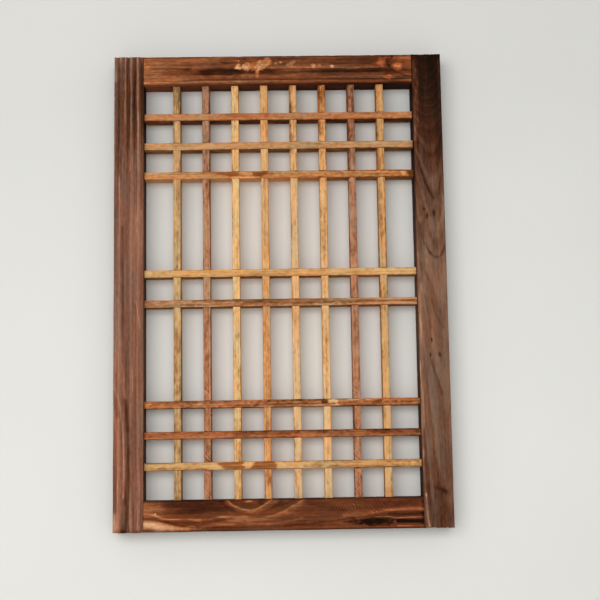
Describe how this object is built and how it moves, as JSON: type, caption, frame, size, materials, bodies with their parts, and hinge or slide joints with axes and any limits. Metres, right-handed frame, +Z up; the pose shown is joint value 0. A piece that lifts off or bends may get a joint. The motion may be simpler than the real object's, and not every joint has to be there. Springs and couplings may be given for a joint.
{
  "type": "lattice window frame",
  "caption": "Upright wooden window frame of tenoned stiles and rails, holding a recessed open lattice of half-lapped uprights and belts of cross bars.",
  "frame": {"origin": "middle of the underside of the frame", "axes": "+Z up along the stiles, +X to the right seen from the front, +Y towards the back"},
  "size_m": [0.488, 0.038, 0.7],
  "materials": {
    "frame_wood": "satin",
    "pale_bar_wood": "satin",
    "brown_bar_wood": "satin"
  },
  "bodies": {
    "root": {"left_stile": "frame_wood", "right_stile": "frame_wood", "top_rail": "frame_wood", "bottom_rail": "frame_wood", "upright_1": "pale_bar_wood", "upright_2": "brown_bar_wood", "upright_3": "pale_bar_wood", "upright_4": "pale_bar_wood", "upright_5": "pale_bar_wood", "upright_6": "pale_bar_wood", "upright_7": "brown_bar_wood", "upright_8": "pale_bar_wood", "cross_bar_1": "pale_bar_wood", "cross_bar_2": "pale_bar_wood", "cross_bar_3": "pale_bar_wood", "cross_bar_4": "pale_bar_wood", "cross_bar_5": "brown_bar_wood", "cross_bar_6": "brown_bar_wood", "cross_bar_7": "brown_bar_wood", "cross_bar_8": "pale_bar_wood"}
  },
  "joints": []
}
